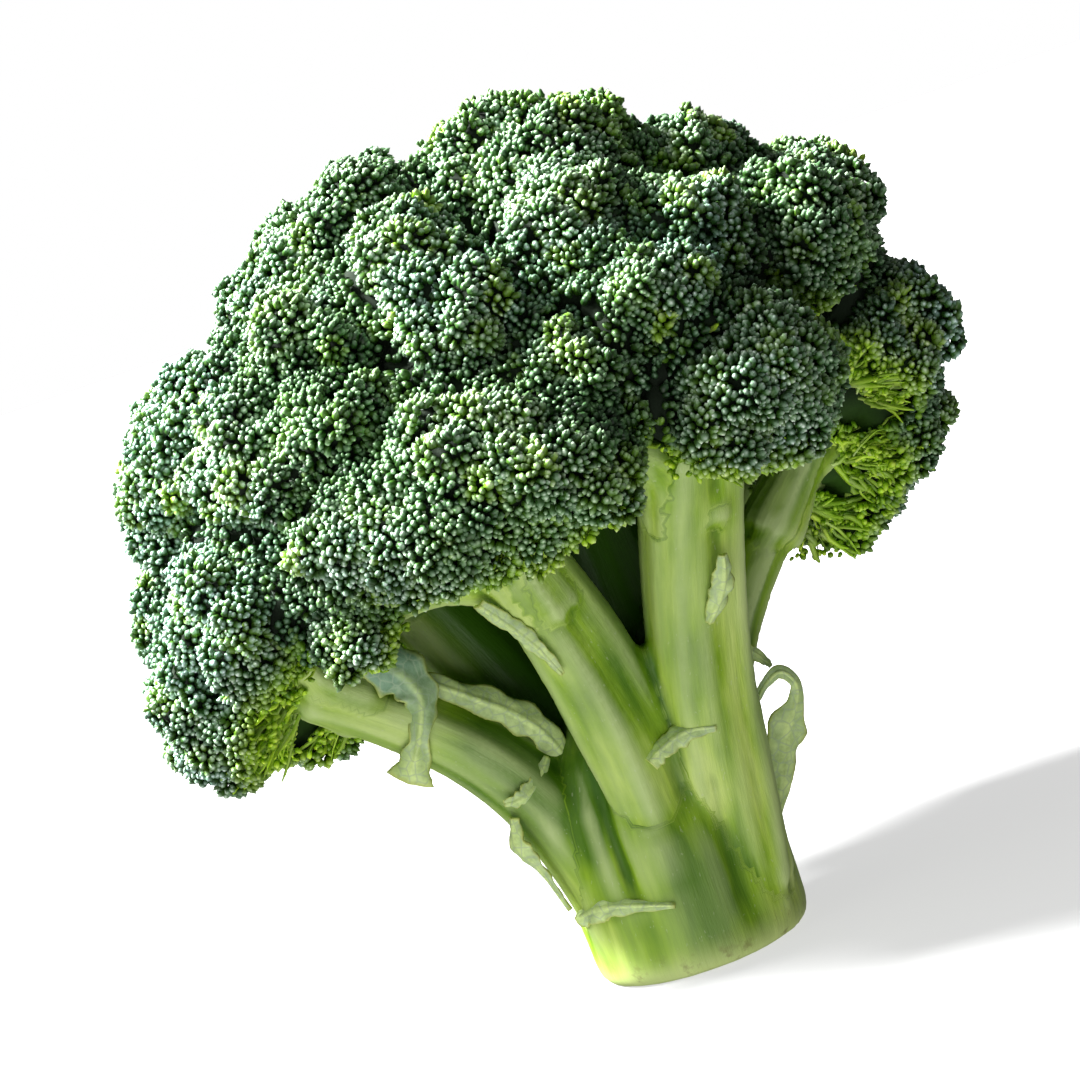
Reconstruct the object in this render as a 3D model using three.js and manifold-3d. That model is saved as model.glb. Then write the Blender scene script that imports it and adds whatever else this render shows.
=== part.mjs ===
// A head of broccoli, standing on its cut end.
// Millimetres, +Z up, origin at the middle of the cut; -Y is the side the long low limb is seen from.
// The stalk with its limbs is one solid. Each floret is a ball trimmed flat where it presses on the
// next one, and the leaves and torn leaf bases are thin bent strips let into the stalk.
import * as THREE from "three";
import { mergeVertices } from "three/addons/utils/BufferGeometryUtils.js";
import Module from "manifold-3d";

const wasm = await Module();
wasm.setup();

// ---------------------------------------------------------------- driving dimensions
const GAP = 0.3; // clearance between pieces that touch
const TRUNK_SIDES = 24;
const LIMB_SIDES = 12;
const LIMB_STEPS = 7;
const TWIG_SIDES = 5;
const TWIG_STEPS = 2;
const TWIG_RADIUS = 3.2;
const FLORET_DETAIL = 2; // each edge of the icosahedron is cut in this many plus one
const UNDERSIDE = 0.35; // share by which a floret is shallower on the side of its twig
const LEAF_THICKNESS = 1.1;
const LEAF_STEPS = 8;

// The trunk's outline as [radius, height], from the cut up to where the limbs have taken it all.
const TRUNK_OUTLINE = [
  [0, 0],
  [20.4, 0],
  [21.4, 1.2],
  [21.6, 12],
  [21.4, 24],
  [20.5, 34],
  [17, 44],
  [11, 52],
  [0, 54],
];

// Each limb: its route as the control points of a curve, its radius at the root and at the fork,
// and the florets that its twigs carry, each as the centre and the radius of a ball.
const LIMBS = {
  left_low: {
    route: [[-11, -3, 10], [-17, -4.5, 41.5], [-28, -6.5, 57], [-55, -10, 74]],
    radii: [9.5, 6.2],
    florets: [
      [-53, -31, 95, 20], [-66, -8, 78.5, 19.5], [-52, 15, 72, 17], [-69, 4, 92.5, 16],
    ],
  },
  left_high: {
    route: [[-7, 6, 14], [-13, 12, 44], [-21, 10, 64], [-36, 0, 94]],
    radii: [12, 8],
    florets: [
      [-59, -6, 114.5, 19], [-40, -35, 117, 21], [-44, -13, 123, 20],
    ],
  },
  front_left: {
    route: [[0, -8, 14], [0, -12, 44], [-2, -20, 62], [-10, -39, 89]],
    radii: [11, 8],
    florets: [
      [-10.5, -57, 105.5, 17.5], [-22.5, -54, 102, 16], [-13, -48, 111, 17], [-34, -47, 103, 16],
      [-40, -44, 91, 14], [-25, -48, 115, 16], [-3, -45, 125, 18],
    ],
  },
  front_right: {
    route: [[11, -7, 12], [13.5, -12, 44], [15.5, -18, 60], [25, -37, 91]],
    radii: [9.5, 8],
    florets: [
      [10, -52, 113, 17], [27, -48.5, 124.5, 14], [31, -47, 106.5, 16.5], [40.5, -41, 103.5, 17],
      [3.5, -59, 104.5, 15.5],
    ],
  },
  right: {
    route: [[13, 1, 12], [14, 1, 42], [19, 2, 56], [46, 8, 80]],
    radii: [6.5, 5.5],
    florets: [
      [65, 2, 100.5, 19], [61, 13, 86.5, 19], [52, 26, 75.5, 17],
    ],
  },
  right_high: {
    route: [[8, 4, 24], [16, 6, 56], [24, 2, 84], [36, -6, 112]],
    radii: [10, 7],
    florets: [
      [53, -19, 124, 17], [60, 0, 126, 17], [47, -4, 132, 16], [35, -33, 129, 17],
      [37, -6, 138, 17],
    ],
  },
  top: {
    route: [[0, 2, 24], [0, 2, 60], [-2, -4, 90], [-4, -10, 122]],
    radii: [14, 9],
    florets: [
      [-29, -35, 130.5, 18], [-12, -32, 138, 17], [-31, -9, 137, 18.5], [-14, -9, 146.5, 19],
      [6, -7, 147, 19], [22, -11, 145, 19], [18, -37, 133, 18],
    ],
  },
  back_left: {
    route: [[-7, 8, 12], [-12, 18, 42], [-24, 28, 58], [-38, 32, 84]],
    radii: [9.5, 7],
    florets: [
      [-55, 32, 97, 21], [-40, 44, 80, 20], [-41, 26, 121, 21],
    ],
  },
  back: {
    route: [[0, 10, 10], [0, 22, 42], [-2, 34, 60], [-3, 42, 88]],
    radii: [10, 8],
    florets: [
      [-15, 57, 87, 21], [11, 57, 90, 20], [-15, 47, 112, 21], [13, 47, 115, 21],
      [-12, 23, 139, 21], [14, 21, 140, 21],
    ],
  },
  back_right: {
    route: [[8, 8, 12], [14, 18, 42], [24, 26, 60], [36, 30, 88]],
    radii: [9, 7],
    florets: [
      [40, 45, 94, 21], [59, 26, 107, 19], [40, 26, 123, 20],
    ],
  },
};

// Each leaf or torn leaf base: a strip along a curve through points, with its half width at the
// root, the middle and the tip, and the direction its face looks in.
const LEAVES = {
  leaf_right: {
    route: [
      [21, -4, 20], [24.2, -4.5, 26], [27, -5, 33], [30.5, -5.5, 39],
      [31.5, -6, 43.5], [29.3, -7.5, 47], [26, -7.5, 45],
    ],
    halves: [2.6, 2.2, 0.9],
    faces: [0.35, -1, 0],
  },
  leaf_left: {
    route: [[-40, -13, 54], [-37.5, -15.5, 60], [-35, -16, 66.5], [-38, -16.5, 74], [-43, -18, 78]],
    halves: [3.4, 2.6, 3.6],
    faces: [0, -1, 0.15],
  },
  leaf_inner: {
    route: [[-12.5, -6.5, 42], [-15.5, -8.5, 51], [-20, -10, 58.5], [-28, -11, 65], [-34, -12, 70]],
    halves: [2.2, 2.4, 1.0],
    faces: [0, -1, 0.2],
  },
  collar_left: {
    route: [[-25.6, -14.2, 42.5], [-23.4, -14, 42.6], [-21, -13, 43.6], [-18.8, -11.4, 45.4]],
    halves: [1.2, 1.8, 1.0],
    faces: [-0.2, -1, -0.5],
  },
  sheath_left: {
    route: [[-22.3, -11, 21], [-25, -12.3, 29.4], [-27.3, -12.8, 35], [-27, -13.6, 38]],
    halves: [0.8, 1.8, 1.4],
    faces: [-1, -0.5, 0],
  },
  scar_low: {
    route: [[-20.4, -10.8, 15.2], [-15.3, -15.9, 16], [-9.1, -20, 16], [-3, -21.7, 15.4]],
    halves: [1.8, 1.6, 0.8],
    faces: [-0.3, -1, 0.6],
  },
  scar_front: {
    route: [[1.8, -24.6, 43.4], [5.7, -23.6, 44.6], [9.6, -23.4, 45], [13.5, -24, 45]],
    halves: [1.6, 1.6, 0.8],
    faces: [0, -1, 0.5],
  },
  bract_left: {
    route: [[-9.9, -35.4, 68.5], [-12.3, -38.6, 74], [-16, -40.5, 79.5], [-18.5, -43.5, 83]],
    halves: [0.9, 1.6, 0.9],
    faces: [-0.5, -1, 0],
  },
  bract_front: {
    route: [[20.9, -33.2, 66], [22.7, -35.2, 69.7], [24.6, -37.6, 73.8], [25.3, -40.2, 78.2]],
    halves: [1.0, 1.5, 0.8],
    faces: [0.3, -1, 0],
  },
  bract_right: {
    route: [[24.5, -5.5, 55], [26.2, -5, 53], [28, -4, 51], [29.3, -3.6, 49.5]],
    halves: [0.9, 0.9, 0.7],
    faces: [0, -1, 0.4],
  },
};

const BUD_GREEN = new THREE.MeshStandardMaterial({ color: 0x3f6b3c, roughness: 0.75, metalness: 0 });
const STALK_GREEN = new THREE.MeshStandardMaterial({ color: 0xa3bf6a, roughness: 0.45, metalness: 0 });
const LEAF_GREEN = new THREE.MeshStandardMaterial({ color: 0x7fa25a, roughness: 0.55, metalness: 0 });

// ---------------------------------------------------------------- solids from geometry and back
function solidOf(geometry) {
  const bare = geometry.clone();
  bare.deleteAttribute("normal");
  bare.deleteAttribute("uv");
  const merged = mergeVertices(bare, 1e-4);
  return new wasm.Manifold(
    new wasm.Mesh({
      numProp: 3,
      vertProperties: new Float32Array(merged.attributes.position.array),
      triVerts: new Uint32Array(merged.index.array),
    }),
  );
}

function geometryOf(solid) {
  const mesh = solid.getMesh();
  const geometry = new THREE.BufferGeometry();
  geometry.setAttribute("position", new THREE.BufferAttribute(mesh.vertProperties, 3));
  geometry.setIndex(new THREE.BufferAttribute(mesh.triVerts, 1));
  geometry.computeVertexNormals();
  return geometry;
}

// A twig that passes through a neighbouring floret leaves a crumb beyond it, which is dropped.
function largestOf(solid) {
  return solid.decompose().reduce((a, b) => (a.volume() > b.volume() ? a : b));
}

// ---------------------------------------------------------------- stalk and limbs
// A limb is a closed cylinder whose axis is bent along the curve while its radius eases from root
// to tip.
function limb(curve, rootRadius, tipRadius, sides, steps) {
  const geometry = new THREE.CylinderGeometry(1, 1, 1, sides, steps);
  const frames = curve.computeFrenetFrames(steps);
  const place = geometry.attributes.position;
  const point = new THREE.Vector3();
  for (let i = 0; i < place.count; i++) {
    const along = place.getY(i) + 0.5;
    const step = Math.round(along * steps);
    const radius = THREE.MathUtils.lerp(rootRadius, tipRadius, along);
    curve.getPoint(along, point);
    point.addScaledVector(frames.normals[step], place.getZ(i) * radius);
    point.addScaledVector(frames.binormals[step], place.getX(i) * radius);
    place.setXYZ(i, point.x, point.y, point.z);
  }
  return solidOf(geometry);
}

function limbCurve(route) {
  return new THREE.CubicBezierCurve3(...route.map((p) => new THREE.Vector3(...p)));
}

function trunk() {
  const outline = TRUNK_OUTLINE.map(([radius, height]) => new THREE.Vector2(radius, height));
  return solidOf(new THREE.LatheGeometry(outline, TRUNK_SIDES).rotateX(Math.PI / 2));
}

// A twig runs from the limb's fork toward the middle of its floret and stops a gap short of it.
function twig(fork, heading, ball) {
  const bend = fork.clone().addScaledVector(heading, ball.centre.distanceTo(fork) * 0.35);
  const back = bend.clone().sub(ball.centre).normalize();
  const end = ball.centre.clone().addScaledVector(back, reachOf(ball, back) + GAP);
  return limb(new THREE.QuadraticBezierCurve3(fork, bend, end), TWIG_RADIUS * 1.5, TWIG_RADIUS,
    TWIG_SIDES, TWIG_STEPS);
}

function wholeStalk() {
  let stalk = trunk();
  for (const [limbName, { route, radii }] of Object.entries(LIMBS)) {
    const curve = limbCurve(route);
    stalk = stalk.add(limb(curve, radii[0], radii[1], LIMB_SIDES, LIMB_STEPS));
    for (const ball of balls.filter((other) => other.limbName === limbName)) {
      stalk = stalk.add(twig(curve.getPoint(0.93), curve.getTangent(1), ball));
    }
  }
  return stalk;
}

// ---------------------------------------------------------------- florets
const balls = Object.entries(LIMBS).flatMap(([limbName, { route, florets }]) =>
  florets.map(([x, y, z, radius], i) => {
    const centre = new THREE.Vector3(x, y, z);
    const fork = new THREE.Vector3(...route[3]);
    return {
      limbName,
      name: `floret_${limbName}_${i + 1}`,
      centre,
      radius,
      axis: centre.clone().sub(fork).normalize(),
    };
  }),
);

// Where two balls overlap, each stops half a gap short of the plane through their common circle.
function flatsOf(ball) {
  return balls
    .filter((other) => other !== ball)
    .map((other) => {
      const toward = other.centre.clone().sub(ball.centre);
      const apart = toward.length();
      const reach = (apart ** 2 + ball.radius ** 2 - other.radius ** 2) / (2 * apart) - GAP / 2;
      return { toward: toward.normalize(), reach, touches: apart < ball.radius + other.radius + GAP };
    })
    .filter((flat) => flat.touches);
}

// How far the ball's skin is from its middle in one direction, before the flats.
function reachOf(ball, way) {
  const under = Math.max(0, -way.dot(ball.axis));
  return ball.radius * (1 - UNDERSIDE * under ** 2);
}

function floretGeometry(ball, grow = 0) {
  const flats = flatsOf(ball);
  const geometry = new THREE.IcosahedronGeometry(1, FLORET_DETAIL);
  const place = geometry.attributes.position;
  const way = new THREE.Vector3();
  for (let i = 0; i < place.count; i++) {
    way.fromBufferAttribute(place, i).normalize();
    let radius = reachOf(ball, way) + grow;
    for (const flat of flats) {
      const lean = way.dot(flat.toward);
      if (lean > 0.01) radius = Math.min(radius, (flat.reach + grow) / lean);
    }
    place.setXYZ(i, way.x * radius, way.y * radius, way.z * radius);
  }
  return geometry.translate(...ball.centre);
}

// ---------------------------------------------------------------- leaves
function leafGeometry({ route, halves, faces }, grow = 0) {
  const curve = new THREE.CatmullRomCurve3(route.map((p) => new THREE.Vector3(...p)));
  const geometry = new THREE.BoxGeometry(2, LEAF_THICKNESS + 2 * grow, 1, 2, 1, LEAF_STEPS);
  const place = geometry.attributes.position;
  const face = new THREE.Vector3(...faces).normalize();
  for (let i = 0; i < place.count; i++) {
    const along = place.getZ(i) + 0.5;
    const early = THREE.MathUtils.lerp(halves[0], halves[1], Math.min(1, along * 2));
    const half = THREE.MathUtils.lerp(early, halves[2], Math.max(0, along * 2 - 1)) + grow;
    const ahead = curve.getTangent(along);
    const side = ahead.clone().cross(face).normalize();
    const normal = ahead.clone().cross(side).normalize();
    const point = curve.getPoint(along);
    point.addScaledVector(side, place.getX(i) * half);
    point.addScaledVector(normal, place.getY(i));
    place.setXYZ(i, point.x, point.y, point.z);
  }
  return geometry;
}

// ---------------------------------------------------------------- the head
const head = new THREE.Group();

function addPiece(name, geometry, material) {
  const mesh = new THREE.Mesh(geometry, material);
  mesh.name = name;
  head.add(mesh);
}

let stalk = wholeStalk();
for (const ball of balls) {
  stalk = stalk.subtract(solidOf(floretGeometry(ball, GAP)));
  addPiece(ball.name, floretGeometry(ball), BUD_GREEN);
}
for (const [name, leaf] of Object.entries(LEAVES)) {
  stalk = stalk.subtract(solidOf(leafGeometry(leaf, GAP)));
  addPiece(name, leafGeometry(leaf), LEAF_GREEN);
}
addPiece("stalk", geometryOf(largestOf(stalk)), STALK_GREEN);

export default head;
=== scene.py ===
import bpy
import numpy as np
from mathutils import Matrix, Vector


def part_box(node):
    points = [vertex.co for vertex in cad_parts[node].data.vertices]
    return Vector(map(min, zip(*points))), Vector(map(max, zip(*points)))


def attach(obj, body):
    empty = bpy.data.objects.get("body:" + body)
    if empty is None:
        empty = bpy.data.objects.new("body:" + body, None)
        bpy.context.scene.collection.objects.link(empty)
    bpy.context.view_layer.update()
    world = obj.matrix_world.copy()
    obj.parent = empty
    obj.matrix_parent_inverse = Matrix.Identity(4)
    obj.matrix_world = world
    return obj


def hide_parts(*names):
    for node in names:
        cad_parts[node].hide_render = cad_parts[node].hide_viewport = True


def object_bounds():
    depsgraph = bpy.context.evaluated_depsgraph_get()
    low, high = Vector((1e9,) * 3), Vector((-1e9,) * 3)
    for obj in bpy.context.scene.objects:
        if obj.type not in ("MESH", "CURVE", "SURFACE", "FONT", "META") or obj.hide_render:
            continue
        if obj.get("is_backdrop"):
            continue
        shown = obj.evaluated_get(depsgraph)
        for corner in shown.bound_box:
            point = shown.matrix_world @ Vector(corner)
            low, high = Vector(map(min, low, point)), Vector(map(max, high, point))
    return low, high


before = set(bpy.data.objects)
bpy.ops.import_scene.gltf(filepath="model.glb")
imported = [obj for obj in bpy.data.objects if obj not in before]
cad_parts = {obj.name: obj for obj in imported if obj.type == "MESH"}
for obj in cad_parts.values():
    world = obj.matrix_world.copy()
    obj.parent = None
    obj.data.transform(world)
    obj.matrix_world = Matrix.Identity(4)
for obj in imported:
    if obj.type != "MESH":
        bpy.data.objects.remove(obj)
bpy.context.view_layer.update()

MM = 0.001

# ---------------------------------------------------------------- stalk
# The trunk, the limbs it forks into and the twigs to the florets are one growth, so they are one
# skin: round limbs laid into each other, wrapped, smoothed, and then ribbed along their grain.
TRUNK_RADIUS = 21.4
TRUNK_HEIGHT = 46
TRUNK_TOP = 52  # where it closes to a point inside the limbs
TRUNK_SIDES = 48
WRAP = 1.15  # width of the wrapping's squares
LIMB_STEPS, TWIG_STEPS = 26, 14  # rings along one
LIMBS = {  # the four points that draw each limb's course, and its radius at the root and at the tip
    "left_low": ([(-11, -3, 10), (-17, -4.5, 41.5), (-28, -6.5, 57), (-55, -10, 74)], 9.5, 6.2),
    "left_high": ([(-7, 6, 14), (-13, 12, 44), (-21, 10, 64), (-36, 0, 94)], 12, 8),
    "front_left": ([(0, -8, 14), (0, -12, 44), (-2, -20, 62), (-10, -39, 89)], 10.5, 7.6),
    "front_right": ([(11, -7, 12), (13.5, -12, 44), (15.5, -18, 62), (26.5, -40, 100)], 9.8, 9.6),
    "right": ([(13, 1, 12), (14, 1, 42), (19, 2, 56), (46, 8, 80)], 6.5, 5.5),
    "right_high": ([(8, 4, 24), (16, 6, 56), (24, 2, 84), (36, -6, 112)], 10, 7),
    "top": ([(2, 2, 24), (3, 1, 60), (4, -6, 88), (-2, -12, 122)], 14, 10),
    "back_left": ([(-7, 8, 12), (-12, 18, 42), (-24, 28, 58), (-38, 32, 84)], 9.5, 7),
    "back": ([(0, 10, 10), (0, 22, 42), (-2, 34, 60), (-3, 42, 88)], 10, 8),
    "back_right": ([(8, 8, 12), (14, 18, 42), (24, 26, 60), (36, 30, 88)], 9, 7),
}
TWIG_RADII = (5.2, 3.4, 3.4)  # at the limb, six tenths along, and at the floret
TWIG_FORK = 0.88  # where along the limb the twigs begin to part
# Ribs and grooves up the trunk: turn at the cut and at the fork in degrees, from and to in height,
# how far they stand out, and their width in degrees.
RIBS = [
    (-38, -34, 2, 58, 1.3, 6), (-117, -124, 15, 52, -2.0, 5), (-96, -97, 18, 60, 0.9, 13),
    (-62, -60, 4, 44, -0.9, 7), (-150, -146, 4, 44, 1.0, 9), (-8, -4, 8, 50, -1.1, 6),
    (22, 18, 2, 50, 1.1, 10), (58, 62, 12, 50, -1.2, 6), (92, 90, 4, 52, 1.0, 12),
    (128, 122, 10, 48, -1.2, 7), (163, 168, 2, 50, 1.0, 10),
]

# Where the stalk is coloured a deeper green (above 0) or paler (below 0), partly the flesh's own patches and
# partly painted shade: middle, width and how much.
TONES = [
    (-26, -14, 54, 9, 1.0), (-21, -13, 44, 8, 0.8), (-17, -13, 34, 9, 0.6), (-2.5, -21, 9, 10, 1.0),
    (3, -21, 17, 10, 0.8), (-5, -20, 33, 9, 0.6), (-0.5, -22, 57, 8, 0.9), (-1, -27, 64, 6, 0.6),
    (27, -2, 54, 7, 0.5),
    (11, -19, 34, 8, -0.7), (-15, -15, 7, 8, -0.3), (18, -10, 9, 6, -0.7), (20, -27, 72, 14, -0.5),
    (-8, -31, 69, 7, -0.8), (-36, -12, 62, 7, -0.5), (12, 18, 20, 14, 0.7), (-12, 16, 34, 12, -0.6),
]

floret_names = sorted(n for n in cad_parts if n.startswith("floret_"))
middle = {n: np.mean(np.array(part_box(n)), axis=0) / MM for n in floret_names}
reach_of = {n: float(max(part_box(n)[1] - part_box(n)[0])) / MM / 2 for n in floret_names}


def unit(v):
    """Each vector divided by its length."""
    return v / np.maximum(np.linalg.norm(v, axis=-1, keepdims=True), 1e-9)


def bent_path(ends, steps):
    """A cubic Bezier: four points weighted by (1-t)^3, 3t(1-t)^2, 3t^2(1-t) and t^3."""
    t = np.linspace(0, 1, steps)[:, None]
    p = np.asarray(ends, float)
    return (1 - t) ** 3 * p[0] + 3 * t * (1 - t) ** 2 * p[1] + 3 * t * t * (1 - t) * p[2] + t**3 * p[3]


def axes_along(path):
    """At each point of a path its heading, a level vector across it, and the third at right angles."""
    heading = unit(np.gradient(path, axis=0))
    level = np.cross(path[-1] - path[0], [0.0, 0.0, 1.0])
    level = np.array([1.0, 0, 0]) if np.linalg.norm(level) < 1e-3 else unit(level)
    across = unit(level - (heading @ level)[:, None] * heading)
    return heading, across, np.cross(heading, across)


def round_limb(path, radii, flute=0.0, phase=0.0, sides=24):
    """Rings carried along a path, of radius r(t) * (1 + f*cos(3a + phase) + f/2*cos(5a - phase)), where f
    grows from half the flute to 2.2 times it, with a point at each end. Returns corners and triangles that
    face outward."""
    heading, across, third = axes_along(path)
    a = np.linspace(0, 2 * np.pi, sides, endpoint=False)
    radii = np.broadcast_to(radii, len(path))
    deep = flute * np.linspace(0.5, 2.2, len(path))[:, None]
    ring = radii[:, None] * (1 + deep * np.cos(3 * a + phase) + deep / 2 * np.cos(5 * a - phase))
    out = np.cos(a)[None, :, None] * across[:, None] + np.sin(a)[None, :, None] * third[:, None]
    wall = (path[:, None] + ring[..., None] * out).reshape(-1, 3)
    ends = [path[0] - heading[0] * radii[0] * 0.5, path[-1] + heading[-1] * radii[-1] * 0.5]
    return np.vstack([wall, ends]), tube_triangles(len(path), sides)


def tube_triangles(rings, sides):
    """Triangles over a grid that closes round its rings, then fans to a point before the first ring
    and to one after the last. The two points are the last two corners."""
    i, j = np.meshgrid(np.arange(rings - 1), np.arange(sides), indexing="ij")
    a, b = i * sides + j, i * sides + (j + 1) % sides
    wall = np.stack([a, b, b + sides, a, b + sides, a + sides], -1).reshape(-1, 3)
    j = np.arange(sides)
    k, last = (j + 1) % sides, (rings - 1) * sides
    low = np.stack([np.full(sides, rings * sides), k, j], -1)
    high = np.stack([np.full(sides, rings * sides + 1), last + j, last + k], -1)
    return np.vstack([wall, low, high])


def join(parts):
    """Corners and triangles of many shapes as one list of each."""
    counts = np.cumsum([0] + [len(p) for p, _ in parts])
    return np.vstack([p for p, _ in parts]), np.vstack([t + c for (_, t), c in zip(parts, counts)])


def mesh_of(name, points, triangles):
    """A mesh from corners in millimetres and triangles."""
    me = bpy.data.meshes.new(name)
    me.vertices.add(len(points))
    me.vertices.foreach_set("co", (points * MM).astype(np.float32).ravel())
    me.loops.add(triangles.size)
    me.loops.foreach_set("vertex_index", triangles.astype(np.int32).ravel())
    me.polygons.add(len(triangles))
    me.polygons.foreach_set("loop_start", np.arange(0, triangles.size, 3, dtype=np.int32))
    me.update(calc_edges=True)
    return me


def place(name, me, material, slot, *nodes):
    """Puts a mesh into the scene as a smooth piece that stands for its CAD nodes."""
    piece = bpy.data.objects.new(name, me)
    bpy.context.scene.collection.objects.link(piece)
    me.materials.append(material)
    me.shade_smooth()
    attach(piece, "root")
    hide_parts(*nodes)
    return piece


def write(me, name, values, kind="FLOAT"):
    """Writes one value or vector for each corner of a mesh."""
    field = {"FLOAT": "value", "FLOAT_VECTOR": "vector"}[kind]
    me.attributes.new(name, kind, "POINT").data.foreach_set(
        field, np.ascontiguousarray(values, np.float32).ravel())


chance = np.random.default_rng(7)
trunk_path = np.array([(0, 0, z) for z in (0.6, 1.2, 2.2, *np.linspace(4, TRUNK_HEIGHT, 12), TRUNK_TOP)], float)
trunk_radii = np.interp(trunk_path[:, 2], [0.6, 1.2, 2.2, 24, 34, 44, TRUNK_TOP],
                        [TRUNK_RADIUS - 1.2, TRUNK_RADIUS - 0.4, TRUNK_RADIUS, TRUNK_RADIUS, 20.5, 17, 11])
paths, widths, stems = [trunk_path], [trunk_radii], []
stems.append(round_limb(trunk_path, trunk_radii, 0.012, 0.4, TRUNK_SIDES))
cut_end, cut_rim = -2, slice(TRUNK_SIDES)  # the first point and the first ring lie flat on the table
stems[0][0][cut_end, 2] = 0.0
stems[0][0][cut_rim, 2] = 0.0
for limb, (ends, root, tip) in LIMBS.items():
    path = bent_path(ends, LIMB_STEPS)
    radii = np.interp(np.linspace(0, 1, LIMB_STEPS), [0, 0.75, 1], [root, tip * 0.6 + root * 0.4, tip])
    paths.append(path)
    widths.append(radii)
    stems.append(round_limb(path, radii, 0.05, chance.uniform(0, 6)))
    heading, fork = unit(np.gradient(path, axis=0)), int(TWIG_FORK * (LIMB_STEPS - 1))
    for name in (n for n in floret_names if n.startswith(f"floret_{limb}_") and n[len(limb) + 8:].isdigit()):
        target = middle[name]
        aside = target - path[fork]
        aside = unit(aside - (aside @ heading[fork]) * heading[fork])
        start = path[fork] + aside * radii[fork] * 0.5
        long = np.linalg.norm(target - start)
        toward = unit(target - path[-1])
        ends = [start, start + heading[fork] * long * 0.4,
                target - toward * reach_of[name] * 1.1, target - toward * reach_of[name] * 0.35]
        twig = bent_path(ends, TWIG_STEPS)
        thick = np.interp(np.linspace(0, 1, TWIG_STEPS), [0, 0.6, 1], TWIG_RADII)
        paths.append(twig)
        widths.append(thick)
        stems.append(round_limb(twig, thick, 0.08, chance.uniform(0, 6), sides=14))

wrapping = bpy.data.objects.new("wrapping", mesh_of("wrapping", *join(stems)))
bpy.context.scene.collection.objects.link(wrapping)
wrap = wrapping.modifiers.new("wrap", "REMESH")
wrap.mode, wrap.voxel_size, wrap.adaptivity = "VOXEL", WRAP * MM, 0
ease = wrapping.modifiers.new("ease", "SMOOTH")
ease.factor, ease.iterations = 0.5, 7
stalk_mesh = bpy.data.meshes.new_from_object(wrapping.evaluated_get(bpy.context.evaluated_depsgraph_get()))
stalk_mesh.name = "stalk_skin"
stalk_mesh.materials.clear()
bpy.data.objects.remove(wrapping)

count = len(stalk_mesh.vertices)
skin = np.zeros(count * 3, np.float32)
stalk_mesh.vertices.foreach_get("co", skin)
skin = skin.reshape(-1, 3) / MM
outward = np.zeros(count * 3, np.float32)
stalk_mesh.vertex_normals.foreach_get("vector", outward)
outward = outward.reshape(-1, 3)
edges = np.zeros(len(stalk_mesh.edges) * 2, np.int32)
stalk_mesh.edges.foreach_get("vertices", edges)
edges = edges.reshape(-1, 2)


def evened(values, rounds):
    """Each corner's value replaced by half itself and half the mean of its neighbours, some times over."""
    shares = np.bincount(edges.ravel(), minlength=count)
    for _ in range(rounds):
        total = np.bincount(edges[:, 0], values[edges[:, 1]], count) + np.bincount(
            edges[:, 1], values[edges[:, 0]], count)
        values = (values + total / np.maximum(shares, 1)) / 2
    return values


# The grain at a corner is its place in the nearest limb: round the limb's axis, and up along it. Each
# limb's starts further on than the last one's, so that no two look alike. Some corners are done at a time.
GRAIN_SHIFT, AT_A_TIME = 41, 3000
stations = np.vstack(paths).astype(np.float32)
station_width = np.concatenate(widths).astype(np.float32)
station_axes = [np.vstack(a) for a in zip(*[axes_along(p) for p in paths])]
station_rise = np.concatenate([
    np.r_[0, np.cumsum(np.linalg.norm(np.diff(p, axis=0), axis=1))] + GRAIN_SHIFT * k
    for k, p in enumerate(paths)])
nearest = np.concatenate([
    np.argmin(np.linalg.norm(part[:, None] - stations[None], axis=2) - station_width, axis=1)
    for part in np.array_split(skin, max(1, count // AT_A_TIME))])
offset = skin - stations[nearest]
heading, across, third = (a[nearest] for a in station_axes)
turn = np.arctan2((offset * third).sum(1), (offset * across).sum(1))
rise = station_rise[nearest] + (offset * heading).sum(1)
grain = np.stack([np.cos(turn) * station_width[nearest], np.sin(turn) * station_width[nearest], rise], -1)

round_trunk = np.degrees(np.arctan2(skin[:, 1], skin[:, 0]))
swell = np.zeros(count)
for low_turn, high_turn, low, high, stand, width in RIBS:
    along = np.clip((skin[:, 2] - low) / (high - low), 0, 1)
    off = (round_trunk - (low_turn + (high_turn - low_turn) * along) + 180) % 360 - 180
    fade = np.clip((skin[:, 2] - low) / 8, 0, 1) * np.clip((high - skin[:, 2]) / 10, 0, 1)
    swell += stand * np.exp(-((off / width) ** 2)) * fade
swell *= np.clip((30 - np.linalg.norm(skin[:, :2], axis=1)) / 6, 0, 1)
lobes = 0.16 * np.sin(7 * turn + rise * 0.03) + 0.10 * np.sin(13 * turn - rise * 0.05)
swell += lobes * np.clip(skin[:, 2] / 4, 0, 1)
skin = skin + outward * swell[:, None]
skin[:, 2] = np.maximum(skin[:, 2], 0)
stalk_mesh.vertices.foreach_set("co", (skin * MM).astype(np.float32).ravel())
stalk_mesh.update()

spread = np.stack([evened(skin[:, k].astype(float), 6) for k in range(3)], -1)
# How far each corner stands out from its smoothed neighbours: the flesh is painted paler on the ridges, partly
# as a painted highlight, and darker in the grooves as painted shade.
ridge = evened(((skin - spread) * outward).sum(1), 3)
write(stalk_mesh, "grain", grain, "FLOAT_VECTOR")
write(stalk_mesh, "ridge", np.clip(ridge * 2.2, -1, 1))
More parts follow.
